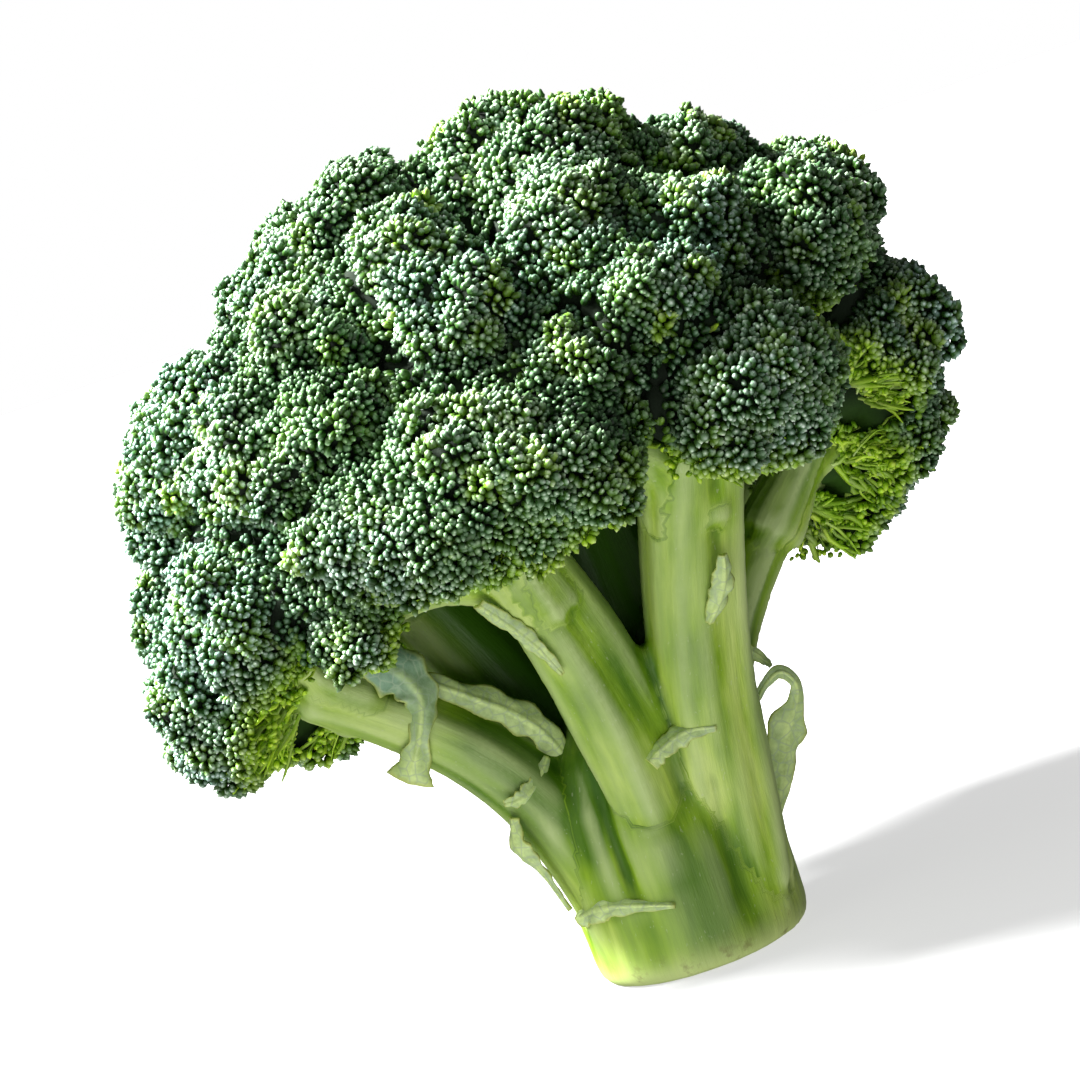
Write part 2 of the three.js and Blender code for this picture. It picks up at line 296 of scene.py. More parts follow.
# Darker green deep in the hollow between the limbs under the crown: partly the inner stems' own deeper green,
# partly painted shade.
brim = np.interp(skin[:, 2], [40, 60, 75, 90, 110], [23, 31, 42, 52, 60])  # how far out the outer limbs reach
depth_in = np.clip((0.86 - np.linalg.norm(skin[:, :2], axis=1) / brim) / 0.30, 0, 1)
patch = sum(much * np.exp(-((np.linalg.norm(skin - (x, y, z), axis=1) / wide) ** 2))
            for x, y, z, wide, much in TONES)
write(stalk_mesh, "patch", np.clip(patch, -1, 1))
write(stalk_mesh, "inner", evened(depth_in * np.clip((skin[:, 2] - 41) / 12, 0, 1), 3))


def colour(*rgb):
    """A colour with full alpha."""
    return (*rgb, 1.0)


def wired(tree, kind, settings=None, **sockets):
    """A node with its settings and its sockets' values or links. A socket goes by its name, or by i and its
    number."""
    node = tree.nodes.new("ShaderNode" + kind)
    for key, value in (settings or {}).items():
        setattr(node, key, value)
    for key, value in sockets.items():
        by_number = key[0] == "i" and key[1:].isdigit()
        socket = node.inputs[int(key[1:]) if by_number else key.replace("_", " ")]
        if isinstance(value, bpy.types.NodeSocket):
            tree.links.new(value, socket)
        else:
            socket.default_value = value
    return node


def told(tree, name, kind="Fac"):
    """What an attribute of the mesh says."""
    return wired(tree, "Attribute", {"attribute_name": name}).outputs[kind]


def stretched(tree, where, rise):
    """Places with their height scaled, so that noise over them runs along the grain."""
    return wired(tree, "VectorMath", {"operation": "MULTIPLY"}, i0=where, i1=(1.0, 1.0, rise)).outputs[0]


def ramp(tree, factor, *stops):
    """A colour ramp through (place, colour) stops."""
    node = wired(tree, "ValToRGB", Fac=factor)
    while len(node.color_ramp.elements) < len(stops):
        node.color_ramp.elements.new(0.5)
    for element, (at, shade) in zip(node.color_ramp.elements, stops):
        element.position = at
        element.color = shade if len(shade) == 4 else colour(*shade)
    return node.outputs["Color"]


def blend(tree, share, first, second, how="MIX"):
    """Two colours mixed by a share."""
    node = wired(tree, "Mix", {"data_type": "RGBA", "blend_type": how})
    for socket, value in ((node.inputs[0], share), (node.inputs[6], first), (node.inputs[7], second)):
        if isinstance(value, bpy.types.NodeSocket):
            tree.links.new(value, socket)
        else:
            socket.default_value = value
    return node.outputs[2]


def sum_up(tree, how, first, second):
    """One number from two."""
    return wired(tree, "Math", {"operation": how}, i0=first, i1=second).outputs[0]


def finish_for(name, roughness, **steady):
    """A new material, its node tree and its principled shader."""
    material = bpy.data.materials.new(name)
    material.use_nodes = True
    shader = material.node_tree.nodes["Principled BSDF"]
    shader.inputs["Roughness"].default_value = roughness
    for key, value in steady.items():
        shader.inputs[key.replace("_", " ")].default_value = value
    return material, material.node_tree, shader


STAINED_TO = 7  # height of the dull band over the cut
CUT_WIDTH = 21.5  # from the pith to the skin of the cut
CUT_DEPTH = 1.0  # how far up the colours of the cut go
flesh, tree, shader = finish_for("stalk_flesh", 0.42, Specular_IOR_Level=0.35)
fibre_place = told(tree, "grain", "Vector")
long_place = stretched(tree, fibre_place, 0.09)
fibres = wired(tree, "TexNoise", Vector=long_place, Scale=0.9, Detail=6.0, Roughness=0.62).outputs["Fac"]
wide_place = stretched(tree, fibre_place, 0.22)
patches = wired(tree, "TexNoise", Vector=wide_place, Scale=0.11, Detail=3.0, Roughness=0.55).outputs["Fac"]
speck_place = stretched(tree, fibre_place, 0.45)
specks = wired(tree, "TexNoise", Vector=speck_place, Scale=1.7, Detail=2.0).outputs["Fac"]
ridged = told(tree, "ridge")
patched = told(tree, "patch")
# Deeper and paler patches from TONES: partly the flesh's own, partly painted shade.
patches = sum_up(tree, "ADD", patches, sum_up(tree, "MULTIPLY", patched, 0.22))
tone = ramp(tree, patches, (0.26, (0.64, 0.80, 0.22)), (0.42, (0.49, 0.68, 0.10)),
            (0.54, (0.29, 0.49, 0.022)), (0.72, (0.10, 0.235, 0.006)))
streaks = ramp(tree, fibres, (0.36, (0.86, 0.90, 0.82)), (0.52, (1.0, 1.0, 1.0)), (0.68, (1.15, 1.11, 1.18)))
tone = blend(tree, 1.0, tone, streaks, "MULTIPLY")
# Paler on the ridges: partly the ribs' own paler skin, partly a painted highlight.
ridge_highlight = ramp(tree, sum_up(tree, "ADD", ridged, 0.5), (0.48, (0, 0, 0)), (0.95, (0.75, 0.75, 0.75)))
tone = blend(tree, ridge_highlight, tone, colour(0.64, 0.78, 0.34))
# Darker in the grooves: painted shade.
deep = ramp(tree, sum_up(tree, "ADD", ridged, 0.5), (0.05, (0.9, 0.9, 0.9)), (0.46, (0, 0, 0)))
tone = blend(tree, deep, tone, colour(0.05, 0.15, 0.004))
dots = ramp(tree, specks, (0.68, (0, 0, 0)), (0.74, (0.3, 0.3, 0.3)))
tone = blend(tree, dots, tone, colour(0.66, 0.74, 0.45))
# The hollow's painted shade, over its own deeper green.
inner = told(tree, "inner")
tone = blend(tree, inner, tone, colour(0.036, 0.120, 0.002))
spot = wired(tree, "TexCoord").outputs["Object"]
level = wired(tree, "SeparateXYZ", Vector=spot).outputs
low = sum_up(tree, "MULTIPLY", level[2], 1 / (STAINED_TO * MM))
low = ramp(tree, low, (0.0, (1, 1, 1)), (1.0, (0, 0, 0)))
stain = wired(tree, "TexNoise", Vector=spot, Scale=260.0, Detail=4.0, Roughness=0.7).outputs["Fac"]
stain = ramp(tree, stain, (0.54, (0, 0, 0)), (0.66, (0.75, 0.75, 0.75)))
dulled = blend(tree, 1.0, low, colour(0.45, 0.45, 0.45), "MULTIPLY")
tone = blend(tree, dulled, tone, colour(0.46, 0.52, 0.12))
tone = blend(tree, blend(tree, 1.0, low, stain, "MULTIPLY"), tone, colour(0.16, 0.13, 0.03))
flat_place = wired(tree, "CombineXYZ", X=level[0], Y=level[1]).outputs[0]
pith = wired(tree, "VectorMath", {"operation": "LENGTH"}, i0=flat_place).outputs["Value"]
pith = ramp(tree, sum_up(tree, "MULTIPLY", pith, 1 / (CUT_WIDTH * MM)), (0.0, (0.72, 0.76, 0.46)),
            (0.66, (0.66, 0.72, 0.38)), (0.74, (0.40, 0.52, 0.14)), (0.82, (0.64, 0.70, 0.36)),
            (0.97, (0.34, 0.44, 0.10)))
under = sum_up(tree, "MULTIPLY", level[2], 1 / (CUT_DEPTH * MM))
under = ramp(tree, under, (0.25, (1, 1, 1)), (0.7, (0, 0, 0)))
tone = blend(tree, under, tone, pith)
tree.links.new(tone, shader.inputs["Base Color"])
bump = wired(tree, "Bump", Strength=0.35, Distance=0.0006, Height=fibres)
tree.links.new(bump.outputs[0], shader.inputs["Normal"])
place("stalk_skin", stalk_mesh, flesh, "stalk_flesh", "stalk")

# ---------------------------------------------------------------- florets
# A floret is a mound of tufts, and a tuft is a dozen or two flower buds, each an egg under 2 mm
# across with a blue-grey bloom on its tip, carried on hair-thin stalks that fan out from a twig.
FLORETS = {  # the ball that each floret fills: its middle and its radius
    "left_low": [(-53, -31, 95, 20), (-66, -8, 78.5, 19.5), (-52, 15, 72, 17), (-69, 4, 92.5, 16)],
    "left_high": [(-59, -6, 114.5, 19), (-40, -35, 117, 21), (-44, -13, 123, 20)],
    "front_left": [(-10.5, -57, 105.5, 17.5), (-22.5, -54, 102, 16), (-13, -48, 111, 17), (-34, -47, 103, 16),
        (-40, -44, 91, 14), (-25, -48, 115, 16), (-3, -45, 125, 18)],
    "front_right": [(10, -52, 113, 17), (27, -48.5, 124.5, 14), (31, -47, 106.5, 16.5),
        (40.5, -41, 103.5, 17), (3.5, -59, 104.5, 15.5)],
    "right": [(65, 2, 100.5, 19), (61, 13, 86.5, 19), (52, 26, 75.5, 17)],
    "right_high": [(53, -19, 124, 17), (60, 0, 126, 17), (47, -4, 132, 16), (35, -33, 129, 17),
        (37, -6, 138, 17)],
    "top": [(-29, -35, 130.5, 18), (-12, -32, 138, 17), (-31, -9, 137, 18.5), (-14, -9, 146.5, 19),
        (6, -7, 147, 19), (22, -11, 145, 19), (18, -37, 133, 18)],
    "back_left": [(-55, 32, 97, 21), (-40, 44, 80, 20), (-41, 26, 121, 21)],
    "back": [(-15, 57, 87, 21), (11, 57, 90, 20), (-15, 47, 112, 21), (13, 47, 115, 21),
        (-12, 23, 139, 21), (14, 21, 140, 21)],
    "back_right": [(40, 45, 94, 21), (59, 26, 107, 19), (40, 26, 123, 20)],
}
LUMPS = {  # the lump that each floret is part of: florets of one lump run into each other
    "left_low": (0, 1, 1, 0), "left_high": (2, 3, 2), "front_left": (4, 4, 4, 4, 5, 3, 16),
    "front_right": (7, 8, 9, 9, 4), "right": (10, 11, 11), "right_high": (12, 12, 13, 14, 13),
    "top": (15, 16, 15, 15, 17, 17, 17), "back_left": (20, 20, 21), "back": (22, 23, 22, 23, 24, 25),
    "back_right": (26, 27, 27),
}
# Which way the open side of a limb's florets leans, besides away from the fork.
LEANS = {"right": (0.5, 0.75, 0.25), "left_low": (-0.35, 0.45, 0.2), "right_high": (0.2, 0.25, 0.1)}
FORK = (0, 0, 55)  # the middle of the crown, where the limbs part
UNDER_PLANE = 0.55  # how far below its middle a floret is flat, as a share of its radius
MERGE = (3.2, 1.1)  # how softly the florets of a lump, and the lumps, run into each other
CREASE = (3.6, 3.8)  # how deep and how wide the valley between two lumps is
SWAY = ((0.17, 1.5), (0.36, 0.7))  # waves that make the mounds uneven: radians per mm and height
BUD_SPACING = 1.42  # between the middles of buds that touch
BUD_RADIUS = 0.77
BUD_HEIGHT = 1.85
TUFT_WIDTH = 7.0
TUFT_RISE = 1.7
MOUND_WIDTH = 13
MOUND_RISE = 1.8
TUFTS_CLOSE = 1.15  # tops in each square of the width, for tufts and for mounds
CLOSE_CIRCLE = 0.866  # the share of a square that each of close-packed circles takes up
BUDS_SPARE = 1.1
UNDER_FEW, UNDER_WIDE, UNDER_TALL = 0.45, 0.82, 0.85  # how many and how big the underside's buds are
BUD_SEAT, SEAT_VARIES = 0.55, 0.35  # how far buds are sunk in the skin
SKIN_DEPTH = 2.6  # from the outline down to the hollows between tufts
SKIN_ROWS, SKIN_SIDES = 22, 34  # rings and corners of the skin under the buds
TOUCHING = 50  # florets with middles further apart than this never meet
OVERLAP = 4  # how far a floret's skin goes on into the next one
LOOKS = 110  # directions that are tried for a clear line to the open air
LEAST_LOOKS = 3  # how many of them have to be clear
BLOCKING = 0.80  # share of a floret's radius that blocks a line
ASTRAY = {"tufts": 0.10, "mounds": 0.16, "buds": 0.014, "strands": 0.06}  # from even places, in radians
BUD_SPILL, BUD_TILT, BUD_UNEVEN = 0.40, 0.20, 0.16  # lean at a tuft's rim, and tilt and size by chance
OPEN_UNDER = -0.38  # how far round a floret the close buds reach, as the cosine from its axis
OPEN_ABOVE = 0.1  # taken off a way's height before it counts as facing the open side
OPEN_ABOVE_ON = {"right": 0.5, "left_low": 0.4}  # and on the limbs whose florets show their inner side
BUD_LEVELS = np.array([0.22, 0.70])  # rings up a bud, as shares of its height
BUD_ROUND = np.array([1.0, 0.80])  # and their radii
BUD_SIDES = 6
STRANDS = 46  # hair-thin stalks for each millimetre of a floret's radius
STRAND_LEVELS = np.array([0.0, 0.35, 0.75, 1.0])  # rings along one
STRAND_WIDTH = np.array([0.9, 1.0, 0.9, 0.35])  # and their radii, as shares
STRAND_SIDES = 4
STRAND_RADII = (0.28, 0.80)  # of the thinnest and the thickest
STRAND_ROOT = 0.55  # how far below a floret's middle they part, as a share of its radius

names = [f"floret_{limb}_{n + 1}" for limb, balls in FLORETS.items() for n in range(len(balls))]
centres = np.array([ball[:3] for balls in FLORETS.values() for ball in balls], float)
radii = np.array([ball[3] for balls in FLORETS.values() for ball in balls], float)
lump_of = np.concatenate([LUMPS[limb] for limb in FLORETS])


def spiral(number, turned):
    """Evenly spread directions: heights fall in equal steps from 1 to -1 while the turn grows by the golden
    angle."""
    k = np.arange(number) + 0.5
    z, a = 1 - 2 * k / number, k * np.pi * (3 - 5**0.5) + turned
    flat = np.sqrt(1 - z * z)
    return np.stack([flat * np.cos(a), flat * np.sin(a), z], -1)


def swayed(points):
    """Points moved by two sine waves of the other two coordinates."""
    for pace, height in SWAY:
        points = points + height * np.sin(pace * points[:, [1, 2, 0]] + [0.4, 1.9, 3.1]) * np.cos(
            pace * 0.8 * points[:, [2, 0, 1]] + [2.2, 0.3, 1.2])
    return points


def crown(points, own):
    """Depth under the crown's skin: over the balls of each lump near a floret, and then over the lumps, it
    is merge * log(sum of exp(depth / merge)). Also how much deeper each point is in the floret's own lump
    than in any other lump, and in its own ball than in any other ball."""
    close = np.flatnonzero(np.linalg.norm(centres - centres[own], axis=1) < TOUCHING)
    depth = radii[close] - np.linalg.norm(swayed(points)[:, None] - centres[close], axis=2)
    lumps, number = np.unique(lump_of[close], return_inverse=True)
    total = np.exp(depth / MERGE[0]) @ (number[:, None] == np.arange(len(lumps)))
    by_lump = MERGE[0] * np.log(total)
    mine, home = close == own, lumps == lump_of[own]
    return (MERGE[1] * np.log(np.exp(by_lump / MERGE[1]).sum(1)),
            by_lump[:, home][:, 0] - by_lump[:, ~home].max(1), depth[:, mine][:, 0] - depth[:, ~mine].max(1))


def domes(ways, tops, reach, width, rise):
    """Height above the skin of rounded tufts: rise * (1 - (distance to the nearest top / half width)^2),
    never under -rise/2, with that distance share, the way to lean and the number of the nearest top."""
    near = ways @ tops.T
    best = near.argmax(1)
    off = ways - tops[best]
    share = np.linalg.norm(off, axis=1) * reach / (width / 2)
    return rise * np.maximum(1 - share**2, -0.5), np.minimum(share, 1.4), unit(off), best


def faced(ways, own, axis):
    """How far ways face the open side of a floret: their height along its axis, or if it is more their own
    height less a share, so that only what looks down or in to the stalk is underside."""
    limb = names[own][7:].rsplit("_", 1)[0]
    return np.maximum(ways @ axis, ways[:, 2] - OPEN_ABOVE_ON.get(limb, OPEN_ABOVE))


def stand_out(ways, own, tufts, mounds, axis):
    """Points of a floret's outside, whether they are its own, how far each is toward a tuft's rim, the way it
    leans, the tuft's number, and how deep it is in a cleft between lumps. The distance out is where the
    crown's depth falls to nil, found in five steps."""
    out = np.full(len(ways), radii[own])
    for _ in range(5):
        depth, lead, first = crown(centres[own] + ways * out[:, None], own)
        out = np.clip(out + depth, 0.6 * radii[own], radii[own] + 7)
    cleft = np.exp(-((np.maximum(lead, 0) / CREASE[1]) ** 2))
    out = out - CREASE[0] * cleft
    out = np.minimum(out, UNDER_PLANE * radii[own] / np.maximum(-faced(ways, own, axis), 0.05))
    tuft, rim, lean, which = domes(ways, tufts, radii[own], TUFT_WIDTH, TUFT_RISE)
    mound = domes(ways, mounds, radii[own], MOUND_WIDTH, MOUND_RISE)[0]
    points = centres[own] + ways * (out - SKIN_DEPTH + tuft + mound)[:, None]
    return points, first > -OVERLAP, rim, lean, which, cleft


looks = spiral(LOOKS, 0.3)


def seen(points, ways, own):
    """Which points have a clear line to the open air: of the evenly spread directions that leave the skin, a
    few pass every other floret, each taken as a ball a little smaller than it is."""
    clear = ways @ looks.T > 0.05
    for other in np.flatnonzero(np.arange(len(names)) != own):
        span = centres[other] - points
        along = span @ looks.T
        clear &= ~((along > 0) & ((span**2).sum(1)[:, None] - along**2 < (BLOCKING * radii[other]) ** 2))
    return clear.sum(1) >= LEAST_LOOKS


def across_axes(up):
    """Two unit vectors at right angles to each of many."""
    helper = np.where(np.abs(up[:, 2:]) < 0.9, [[0.0, 0, 1]], [[1.0, 0, 0]])
    a = unit(np.cross(helper, up))
    return a, np.cross(up, a)


def star_map(rings, sides):
    """A flat map for tube_triangles, from -1 to 1: rings shrink round the last point, which is the middle,
    and each triangle of the first fan points outward."""
    a = np.arange(sides + 1) * 2 * np.pi / sides
    share = np.append(0.82 * (1 - np.arange(rings) / rings), 0)

    def at(ring, turn):
        return np.stack([np.cos(turn) * share[ring], np.sin(turn) * share[ring]], -1)

    i, j = (v.ravel() for v in np.meshgrid(np.arange(rings - 1), np.arange(sides), indexing="ij"))
    p, q, r, t = at(i, a[j]), at(i, a[j + 1]), at(i + 1, a[j + 1]), at(i + 1, a[j])
    wall = np.stack([np.stack([p, q, r], 1), np.stack([p, r, t], 1)], 1).reshape(-1, 3, 2)
    j = np.arange(sides)
    turn = (a[j] + a[j + 1]) / 2
    outer = np.stack([np.cos(turn), np.sin(turn)], -1)
    low = np.stack([outer, at(0 * j, a[j + 1]), at(0 * j, a[j])], 1)
    tip, last = 0 * j + rings, 0 * j + rings - 1
    high = np.stack([at(tip, a[j]), at(last, a[j]), at(last, a[j + 1])], 1)
    return np.vstack([wall, low, high])


def lay_out(me, big, small):
    """Writes the flat map of one big shape, in a block of the lower left, and of small ones in a square of
    cells."""
    count = sum(len(v) for v in small)
    block = 6  # cells along a side of the big shape's block
    across = int(np.ceil(np.sqrt(count + block * block)))
    row, column = (v.ravel() for v in np.meshgrid(np.arange(across), np.arange(across), indexing="ij"))
    free = (row >= block) | (column >= block)
    row, column = row[free][:count] + 0.5, column[free][:count] + 0.5
    flat, start = [big * 0.48 * block + block / 2], 0
    for shape in small:
        cell = np.stack([column, row], -1)[start:start + len(shape)]
        flat.append((cell[:, None, None] + shape * 0.44).reshape(-1, 3, 2))
        start += len(shape)
    flat = np.vstack(flat) / across
    me.uv_layers.new(name="OFBake").uv.foreach_set("vector", flat.astype(np.float32).ravel())


buds_material, tree, shader = finish_for("flower_buds", 0.42, Specular_IOR_Level=0.5)
height = told(tree, "bud_height")
lime = told(tree, "lime")
odd = told(tree, "odd")
# Up each bud: near-black at the base, painted shade between the packed buds; a near-white tip, the blue-grey
# bloom painted paler as a highlight.
green = ramp(tree, height, (0.0, (0.006, 0.026, 0.001)), (0.40, (0.024, 0.085, 0.008)),
             (0.62, (0.038, 0.115, 0.030)), (0.82, (0.21, 0.34, 0.21)), (1.0, (0.76, 0.88, 0.76)))
yellow = ramp(tree, height, (0.0, (0.12, 0.29, 0.003)), (0.5, (0.46, 0.74, 0.014)), (1.0, (0.66, 0.84, 0.09)))
tone = blend(tree, lime, green, yellow)
# Each bud lighter or darker at random; the skin, at nought, is painted darker as shade under the buds.
light = ramp(tree, odd, (0.0, (0.50, 0.58, 0.55)), (0.5, (0.95, 0.97, 0.95)), (1.0, (1.50, 1.42, 1.50)))
tone = blend(tree, 1.0, tone, light, "MULTIPLY")
spot = wired(tree, "TexCoord").outputs["Object"]
drift = wired(tree, "TexNoise", Vector=spot, Scale=26.0, Detail=2.0).outputs["Fac"]
drift = ramp(tree, drift, (0.38, (0.80, 0.92, 0.72)), (0.5, (1, 1, 1)), (0.62, (0.95, 1.02, 1.22)))
tone = blend(tree, 1.0, tone, drift, "MULTIPLY")
# Darker deep in the clefts between lumps: painted shade.
cleft = told(tree, "cleft")
tone = blend(tree, 1.0, tone, ramp(tree, cleft, (0.15, (1, 1, 1)), (1.0, (0.36, 0.48, 0.34))), "MULTIPLY")
tree.links.new(tone, shader.inputs["Base Color"])
dull = told(tree, "dull")
tree.links.new(wired(tree, "MapRange", Value=dull, To_Min=0.42, To_Max=0.95).outputs["Result"],
               shader.inputs["Roughness"])

bud_ring = (np.arange(BUD_SIDES) * 2 * np.pi / BUD_SIDES
            + (np.arange(len(BUD_LEVELS)) % 2)[:, None] * np.pi / BUD_SIDES)
bud_points = np.vstack([np.stack([
    np.cos(bud_ring) * BUD_ROUND[:, None], np.sin(bud_ring) * BUD_ROUND[:, None],
    np.broadcast_to(BUD_LEVELS[:, None], bud_ring.shape)], -1).reshape(-1, 3), [[0, 0, -0.15], [0, 0, 1.0]]])
bud_triangles = tube_triangles(len(BUD_LEVELS), BUD_SIDES)
bud_map, strand_map = star_map(len(BUD_LEVELS), BUD_SIDES), star_map(len(STRAND_LEVELS), STRAND_SIDES)
skin_map = star_map(SKIN_ROWS, SKIN_SIDES)

for own, name in enumerate(names):
    rng = np.random.default_rng(100 + own)
    limb, size = name[7:].rsplit("_", 1)[0], radii[own]
    axis = unit(0.5 * unit(centres[own] - LIMBS[limb][0][3]) + unit(centres[own] - FORK)
                + np.add((0, 0, 0.2), LEANS.get(limb, (0, 0, 0))))
    tufts = spiral(int(4 * np.pi * size**2 / TUFT_WIDTH**2 * TUFTS_CLOSE), rng.uniform(0, 6))
    tufts = unit(tufts + rng.normal(0, ASTRAY["tufts"], tufts.shape))
    mounds = spiral(int(4 * np.pi * size**2 / MOUND_WIDTH**2 * TUFTS_CLOSE), rng.uniform(0, 6))
    mounds = unit(mounds + rng.normal(0, ASTRAY["mounds"], mounds.shape))
    tuft_lime = rng.beta(0.4, 7, len(tufts))
    tuft_light = np.clip(rng.normal(0, 0.10, len(tufts)), -0.2, 0.2)

    # the skin under the buds, drawn in toward the twig
    polar = np.linspace(0.03, np.pi - 0.03, SKIN_ROWS)
    a = np.linspace(0, 2 * np.pi, SKIN_SIDES, endpoint=False)
    ways = np.stack([np.sin(polar)[:, None] * np.cos(a), np.sin(polar)[:, None] * np.sin(a),
                     np.broadcast_to(-np.cos(polar)[:, None], (SKIN_ROWS, SKIN_SIDES))], -1).reshape(-1, 3)
    ways = np.vstack([ways, [[0, 0, -1], [0, 0, 1]]])
    under = np.clip((-faced(ways, own, axis) - 0.1) / 0.5, 0, 1)
    points, mine = stand_out(ways, own, tufts, mounds, axis)[:2]
    inward = np.where(mine, 1 - 0.42 * under - 1.5 / size, 0.84 - 0.3 * under)
    points = centres[own] + (points - centres[own]) * inward[:, None]
    shapes = [(points, tube_triangles(SKIN_ROWS, SKIN_SIDES))]
    bare = len(points)
    # The skin under the buds gets the lowest colour, a cleft of one and odd of nought: painted shade in the
    # gaps between the buds.
    values = {"bud_height": [0.25 * under + 0.06 * rng.random(len(points))],
              "lime": [0.02 + 0.8 * under],
              "odd": [np.zeros(len(points))], "cleft": [np.ones(len(points))]}

    # the buds: twice as many as fit are sown, and the second sowing is kept only where the skin is stretched
    wanted = int(4 * np.pi * size**2 * BUDS_SPARE / (CLOSE_CIRCLE * BUD_SPACING**2))
    ways = np.vstack([spiral(wanted, rng.uniform(0, 6)), spiral(wanted, rng.uniform(0, 6))])
    ways = unit(ways + rng.normal(0, ASTRAY["buds"], ways.shape))
    first_sowing = np.arange(2 * wanted) < wanted
    facing = faced(ways, own, axis)
    points, mine, rim, lean, which, cleft = stand_out(ways, own, tufts, mounds, axis)
    thin = np.where(facing > OPEN_UNDER, 1.0, UNDER_FEW)
    keep = (facing > -0.93) & (rng.random(2 * wanted) < thin) & mine
    ways, points, rim, lean, which, cleft, facing, first_sowing = (
        v[keep] for v in (ways, points, rim, lean, which, cleft, facing, first_sowing))
    a, b = across_axes(ways)
    ahead = stand_out(unit(ways + a * 0.10), own, tufts, mounds, axis)[0]
    aside = stand_out(unit(ways + b * 0.10), own, tufts, mounds, axis)[0]
    up = unit(np.cross(ahead - points, aside - points))
    up *= np.sign((up * ways).sum(1))[:, None]
    stretch = ((points - centres[own]) ** 2).sum(1) / (size - 1) ** 2 / np.maximum((up * ways).sum(1), 0.3)
    keep = first_sowing | (rng.random(len(up)) < stretch - 1)
    keep[keep] = seen(points[keep] + up[keep] * 1.5, up[keep], own)
    points, rim, lean, which, cleft, facing, up = (
        v[keep] for v in (points, rim, lean, which, cleft, facing, up))
    up = unit(up + BUD_SPILL * rim[:, None] * lean + rng.normal(0, BUD_TILT, up.shape))
    a, b = across_axes(up)
    spin = rng.uniform(0, 2 * np.pi, len(up))
    a, b = (a * np.cos(spin)[:, None] + b * np.sin(spin)[:, None],
            b * np.cos(spin)[:, None] - a * np.sin(spin)[:, None])
    low = facing < OPEN_UNDER
    wide = BUD_RADIUS * np.clip(rng.normal(1, BUD_UNEVEN, len(up)), 0.6, 1.45) * np.where(low, UNDER_WIDE, 1)
    tall = BUD_HEIGHT * np.clip(rng.normal(1, BUD_UNEVEN, len(up)), 0.6, 1.5) * np.where(low, UNDER_TALL, 1)
    oval = rng.uniform(0.72, 1.0, len(up))
    points = points - up * (BUD_SEAT + rng.uniform(-SEAT_VARIES, SEAT_VARIES, len(up)))[:, None]
    points = points + (centres[own] - points) * (low * rng.uniform(0.0, 0.20, len(up)))[:, None]
    beads = (points[:, None] + a[:, None] * (bud_points[None, :, :1] * wide[:, None, None])
             + b[:, None] * (bud_points[None, :, 1:2] * (wide * oval)[:, None, None])
             + up[:, None] * (bud_points[None, :, 2:] * tall[:, None, None]))
    offsets = np.arange(len(up))[:, None, None] * len(bud_points)
    shapes.append((beads.reshape(-1, 3), (bud_triangles[None] + offsets).reshape(-1, 3)))
    yellowing = np.clip(tuft_lime[which] + 0.9 * np.clip((-facing - 0.10) / 0.4, 0, 1)
                        + 0.3 * np.clip(rim - 0.7, 0, 0.5) * rng.random(len(up)), 0, 1)
    values["bud_height"].append(np.tile(np.clip(bud_points[:, 2], 0, 1), len(up)))
    values["lime"].append(np.repeat(yellowing, len(bud_points)))
    values["odd"].append(np.repeat(np.clip(rng.random(len(up)) + tuft_light[which], 0, 1), len(bud_points)))
    # How deep each bud lies in a cleft, for the painted shade there.
    values["cleft"].append(np.repeat(cleft, len(bud_points)))

    # the hair-thin stalks that fan out from the twig's end to the rim and the underside
    number_of = int(STRANDS * size)
    ways = unit(spiral(number_of, rng.uniform(0, 6)) + rng.normal(0, ASTRAY["strands"], (number_of, 3)))
    facing = faced(ways, own, axis)
    points, mine = stand_out(ways, own, tufts, mounds, axis)[:2]
    keep = (facing < 0.02) & (facing > -0.95) & mine
    keep[keep] = seen(points[keep] + ways[keep], ways[keep], own)
    ways, tops, facing = ways[keep], points[keep], facing[keep]
    number_of = len(tops)
    if number_of:
        roots = centres[own] - axis * size * STRAND_ROOT + rng.normal(0, 1.8, (number_of, 3))
        tops = centres[own] + (tops - centres[own]) * rng.uniform(0.74, 1.08, (number_of, 1))
        roots += (tops - roots) * rng.uniform(0.35, 0.78, (number_of, 1))
        s = STRAND_LEVELS[None, :, None]
        sag = unit(np.cross(tops - roots, rng.normal(0, 1, (number_of, 3))))
        sag = sag * rng.uniform(0, 1.3, (number_of, 1))
        route = roots[:, None] * (1 - s) + tops[:, None] * s + sag[:, None] * (s * (1 - s) * 4)
        first, second = across_axes(unit(tops - roots))
        spin = rng.uniform(0, 2 * np.pi, number_of)[:, None]
        first, second = (first * np.cos(spin) + second * np.sin(spin),
                         second * np.cos(spin) - first * np.sin(spin))
        a = np.linspace(0, 2 * np.pi, STRAND_SIDES, endpoint=False)
        thick = (rng.uniform(*STRAND_RADII, number_of)[:, None] * STRAND_WIDTH)[:, :, None, None]
        ring = np.cos(a)[:, None] * first[:, None, None] + 0.55 * np.sin(a)[:, None] * second[:, None, None]
        wall = (route[:, :, None] + ring * thick).reshape(number_of, -1, 3)
        tubes = np.concatenate([wall, route[:, :1] * 1.02 - route[:, 1:2] * 0.02,
                                route[:, -1:] * 1.1 - route[:, -2:-1] * 0.1], 1)
        offsets = np.arange(number_of)[:, None, None] * tubes.shape[1]
        shapes.append((tubes.reshape(-1, 3),
                       (tube_triangles(len(STRAND_LEVELS), STRAND_SIDES)[None] + offsets).reshape(-1, 3)))
        tint = np.r_[np.repeat([1.0, 0.8, 0.62, 0.5], STRAND_SIDES), 1.0, 0.45]
        values["bud_height"].append(np.tile(tint, number_of))
        values["lime"].append(np.repeat(rng.uniform(0.55, 1, number_of), tubes.shape[1]))
        values["odd"].append(np.repeat(rng.uniform(0.2, 1, number_of), tubes.shape[1]))
